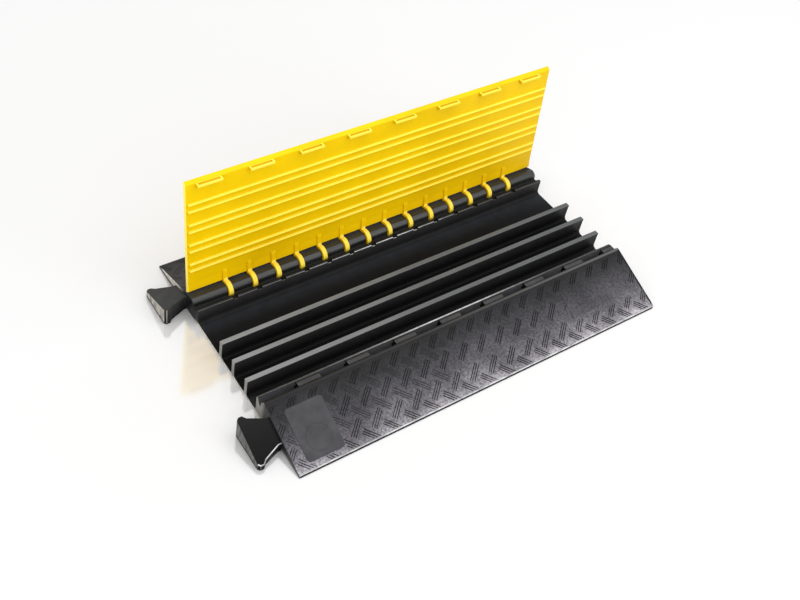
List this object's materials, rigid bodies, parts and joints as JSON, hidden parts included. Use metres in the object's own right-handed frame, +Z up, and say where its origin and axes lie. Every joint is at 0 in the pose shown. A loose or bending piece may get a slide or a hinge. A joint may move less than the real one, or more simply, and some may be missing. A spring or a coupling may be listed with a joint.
{
  "type": "hinged-lid floor cord cover",
  "caption": "Drive-over floor cord cover: ramped base with open cable channels, hinged lid standing open, dovetail end connectors.",
  "frame": {"origin": "centre of the bounding box on the floor plane, with the lid standing open", "axes": "+X along the cable channels toward the pocket end, +Y toward the hinge side, +Z up"},
  "size_m": [0.89, 0.54, 0.303],
  "materials": {
    "base_rubber": "black moulded polyurethane, satin",
    "lid_plastic": "yellow moulded polyurethane, satin",
    "rod_fibre": "plain grey glass-fibre rod"
  },
  "bodies": {
    "base_body": {"base": "base_rubber", "hinge_rod": "rod_fibre"},
    "lid_body": {"lid": "lid_plastic"}
  },
  "joints": [
    {"name": "lid_hinge", "type": "hinge", "parent": "base_body", "child": "lid_body", "pos_m": [0.027, 0.135, 0.0325], "axis": [1, 0, 0], "range_deg": [0, 94.5]}
  ]
}
